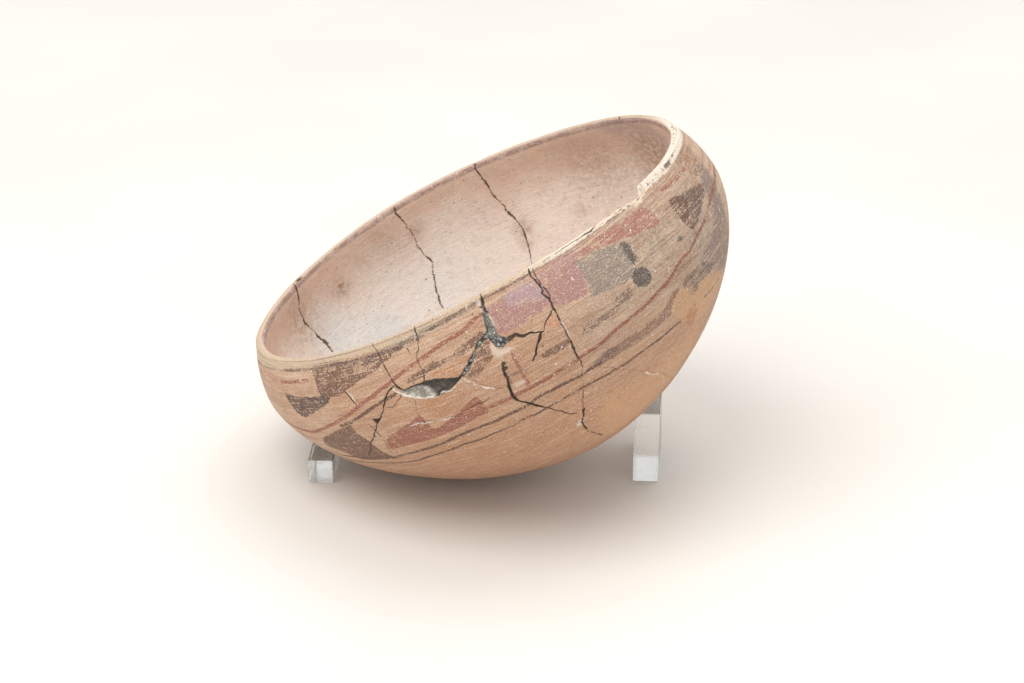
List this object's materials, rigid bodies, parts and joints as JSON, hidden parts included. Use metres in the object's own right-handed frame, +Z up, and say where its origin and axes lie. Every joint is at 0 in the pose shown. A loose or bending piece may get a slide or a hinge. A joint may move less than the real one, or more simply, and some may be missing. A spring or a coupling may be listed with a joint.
{
  "type": "pottery bowl",
  "caption": "Ancient painted pottery bowl, round-bottomed and mended with open joints, lying tilted on two clear acrylic supports.",
  "frame": {"origin": "centre of the bounding box, on the surface that the supports stand on", "axes": "+Z up, -Y towards the viewer who sees the painted front, +X to the right, towards the raised side of the rim"},
  "size_m": [0.2342, 0.2468, 0.1793],
  "materials": {
    "painted_clay": "matte, worn slip paint",
    "clear_acrylic": "clear, polished"
  },
  "bodies": {
    "root": {"bowl": "painted_clay", "left_support": "clear_acrylic", "right_support": "clear_acrylic"}
  },
  "joints": []
}
